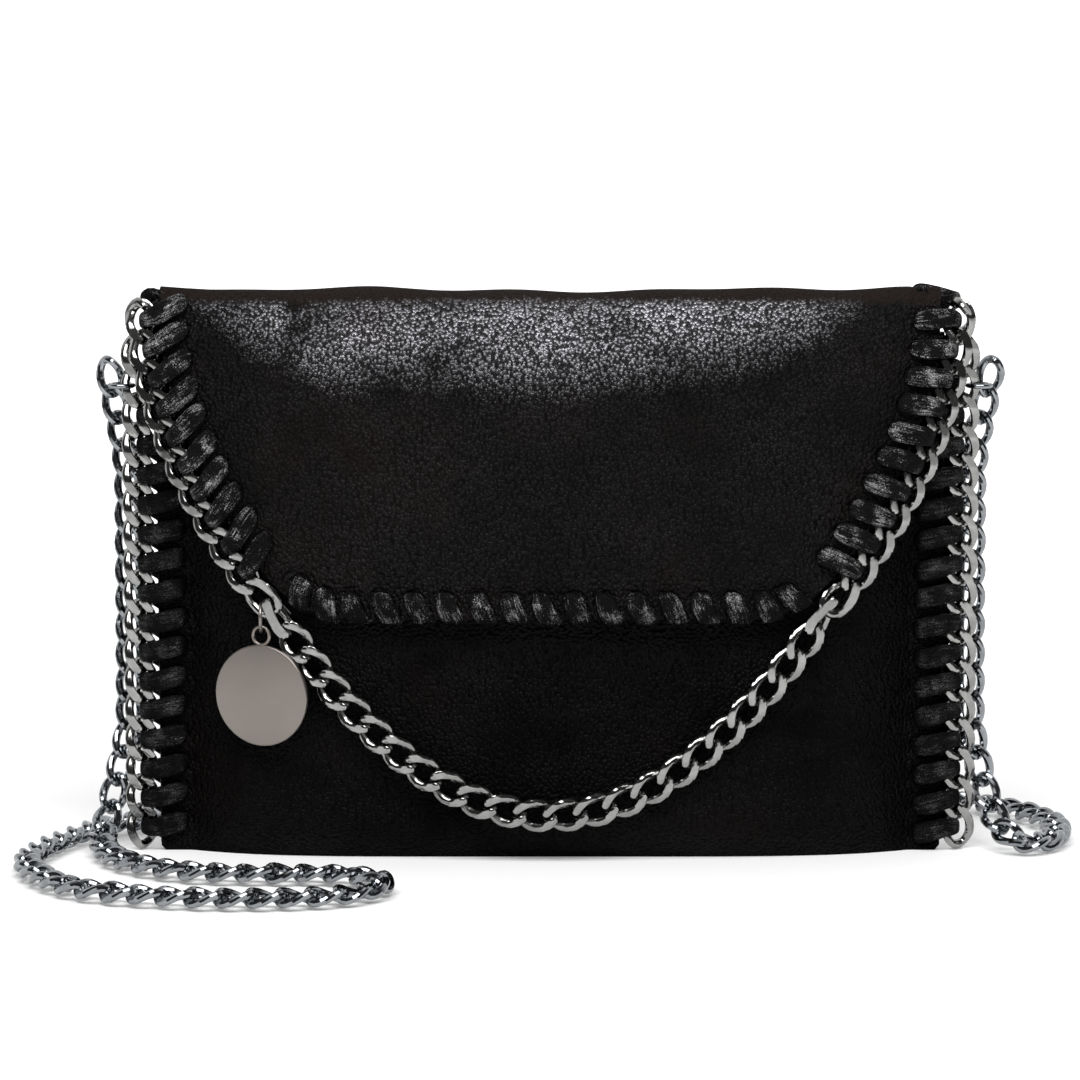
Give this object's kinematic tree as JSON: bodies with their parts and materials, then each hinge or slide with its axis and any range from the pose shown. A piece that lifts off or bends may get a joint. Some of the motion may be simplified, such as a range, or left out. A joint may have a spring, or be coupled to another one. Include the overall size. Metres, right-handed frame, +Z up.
{
  "type": "crossbody bag",
  "caption": "Small black leather crossbody bag with a fold-over flap, whip-stitched curb chain edges, a chain swag, a plain disc charm and a long chain strap.",
  "frame": {"origin": "on the floor under the middle of the bag, strap left out", "axes": "+Z up, the flap and its chains face -Y, +X to the viewer's right"},
  "size_m": [0.3214, 0.18, 0.1711],
  "materials": {
    "front_panel": "soft pebbled, semi-gloss",
    "back_panel": "soft pebbled, semi-gloss",
    "base_panel": "soft pebbled, semi-gloss",
    "base_board": "grey board, matt",
    "lining_front": "matt woven",
    "lining_back": "matt woven",
    "lining_base": "matt woven",
    "slip_pocket": "matt woven",
    "pocket_bag": "matt woven",
    "zip_tape": "matt woven",
    "zip_coil": "gunmetal, polished",
    "zip_slider": "gunmetal, polished",
    "zip_pull": "gunmetal, polished",
    "snap_socket": "gunmetal, polished",
    "socket_washer": "gunmetal, polished",
    "snap_stud": "gunmetal, polished",
    "stud_washer": "gunmetal, polished",
    "side_chain_left": "gunmetal, polished",
    "side_chain_right": "gunmetal, polished",
    "side_lacing_left": "smooth satin",
    "side_lacing_right": "smooth satin",
    "strap_ring_left": "gunmetal, polished",
    "strap_ring_right": "gunmetal, polished",
    "strap_chain": "gunmetal, polished",
    "flap_leather": "soft pebbled, semi-gloss",
    "flap_lining": "matt woven",
    "flap_chain_left": "gunmetal, polished",
    "flap_chain_right": "gunmetal, polished",
    "flap_lacing_left": "smooth satin",
    "flap_lacing_hem": "smooth satin",
    "flap_lacing_right": "smooth satin",
    "swag_chain": "gunmetal, polished",
    "charm_ring": "satin, warm grey",
    "charm_disc": "satin, warm grey"
  },
  "bodies": {
    "bag": {"front_panel": "front_panel", "back_panel": "back_panel", "base_panel": "base_panel", "base_board": "base_board", "lining_front": "lining_front", "lining_back": "lining_back", "lining_base": "lining_base", "slip_pocket": "slip_pocket", "pocket_bag": "pocket_bag", "zip_tape": "zip_tape", "zip_coil": "zip_coil", "snap_socket": "snap_socket", "socket_washer": "socket_washer", "side_chain_left": "side_chain_left", "side_chain_right": "side_chain_right", "side_lacing_left": "side_lacing_left", "side_lacing_right": "side_lacing_right", "strap_ring_left": "strap_ring_left", "strap_ring_right": "strap_ring_right", "strap_chain": "strap_chain"},
    "flap": {"flap_leather": "flap_leather", "flap_lining": "flap_lining", "flap_chain_left": "flap_chain_left", "flap_chain_right": "flap_chain_right", "flap_lacing_left": "flap_lacing_left", "flap_lacing_hem": "flap_lacing_hem", "flap_lacing_right": "flap_lacing_right", "snap_stud": "snap_stud", "stud_washer": "stud_washer"},
    "swag": {"swag_chain": "swag_chain"},
    "charm_ring": {"charm_ring": "charm_ring"},
    "charm": {"charm_disc": "charm_disc"},
    "zip_slider": {"zip_slider": "zip_slider"},
    "zip_pull": {"zip_pull": "zip_pull"}
  },
  "joints": [
    {"name": "flap_hinge", "type": "hinge", "parent": "bag", "child": "flap", "pos_m": [0, 0.01227, 0.15685], "axis": [-1, 0, 0], "range_deg": [0, 165]},
    {"name": "swag_swing", "type": "hinge", "parent": "flap", "child": "swag", "pos_m": [0, -0.01462, 0.07555], "axis": [-1, 0, 0], "range_deg": [0, 15]},
    {"name": "charm_ring_swing", "type": "hinge", "parent": "swag", "child": "charm_ring", "pos_m": [-0.09164, -0.01443, 0.07546], "axis": [-1, 0, 0], "range_deg": [0, 70]},
    {"name": "charm_swing", "type": "hinge", "parent": "charm_ring", "child": "charm", "pos_m": [-0.09164, -0.01443, 0.06986], "axis": [0, 1, 0], "range_deg": [0, 60]},
    {"name": "zip_slide", "type": "slide", "parent": "bag", "child": "zip_slider", "axis": [1, 0, 0], "range_m": [0, 0.084]},
    {"name": "zip_pull_hinge", "type": "hinge", "parent": "zip_slider", "child": "zip_pull", "pos_m": [-0.042, 0.0108, 0.122], "axis": [0, 0, -1], "range_deg": [0, 180]}
  ]
}
